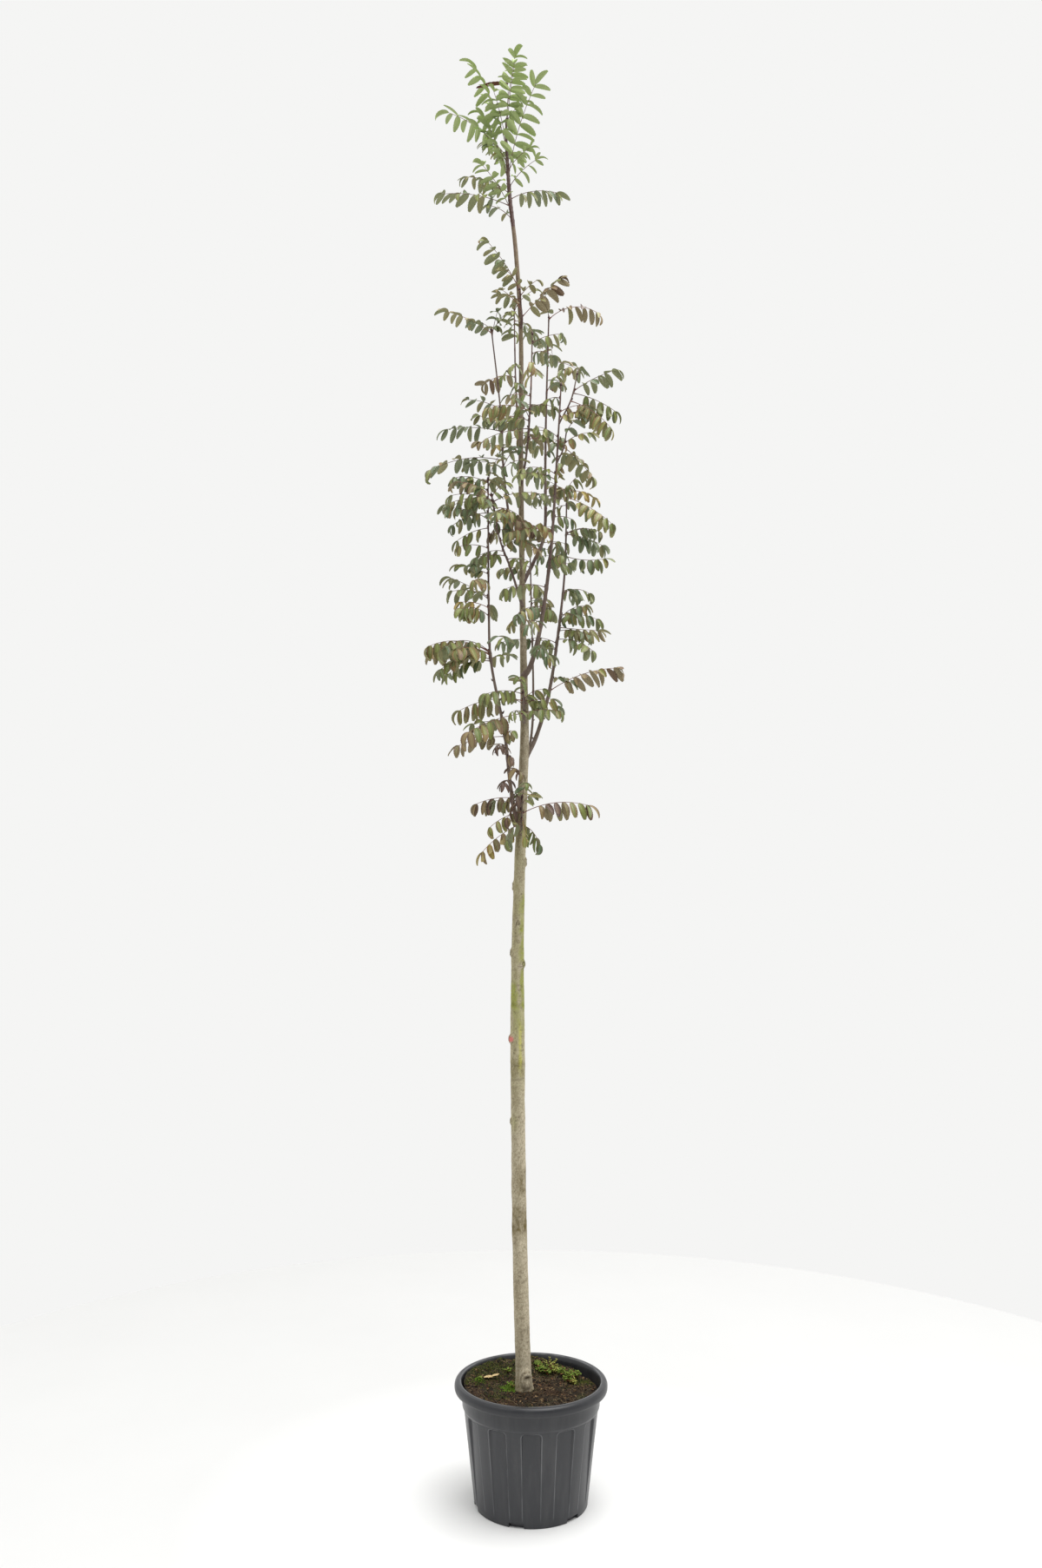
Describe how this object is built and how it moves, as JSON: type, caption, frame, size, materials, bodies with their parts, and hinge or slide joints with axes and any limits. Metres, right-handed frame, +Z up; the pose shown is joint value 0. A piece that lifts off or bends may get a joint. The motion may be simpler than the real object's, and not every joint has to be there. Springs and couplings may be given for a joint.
{
  "type": "potted rowan tree",
  "caption": "Young rowan standard with a slender trunk, steep side shoots and sparse pinnate autumn-tinted foliage, growing in a round black nursery pot of soil.",
  "frame": {"origin": "centre of the pot's flat underside", "axes": "+Z up along the trunk, -Y towards the front, +X to the right"},
  "size_m": [0.6626, 0.6182, 4.4347],
  "materials": {
    "pot_plastic": "satin, slightly dusty",
    "potting_soil": "rough, fibrous and damp",
    "bark": "smooth grey-green bark with lenticels",
    "shoot_bark": "smooth purple-brown bark",
    "foliage": "matte leaf with a slight sheen"
  },
  "bodies": {
    "root": {"pot": "pot_plastic", "soil": "potting_soil", "trunk": "bark", "bough_upper_right": "shoot_bark", "bough_upper_left": "shoot_bark", "bough_upper_front": "shoot_bark", "bough_upper_back": "shoot_bark", "bough_mid_right": "shoot_bark", "bough_low_right": "shoot_bark", "bough_low_left": "shoot_bark", "bough_mid_left": "shoot_bark", "bough_low_back": "shoot_bark", "leaves_top": "foliage", "leaves_spur_high": "foliage", "leaves_upper_right": "foliage", "leaves_upper_left": "foliage", "leaves_upper_front": "foliage", "leaves_upper_back": "foliage", "leaves_mid_right": "foliage", "leaves_low_right": "foliage", "leaves_low_left": "foliage", "leaves_mid_left": "foliage", "leaves_low_back": "foliage", "leaves_spur_mid": "foliage", "leaves_spur_low": "foliage"}
  },
  "joints": []
}
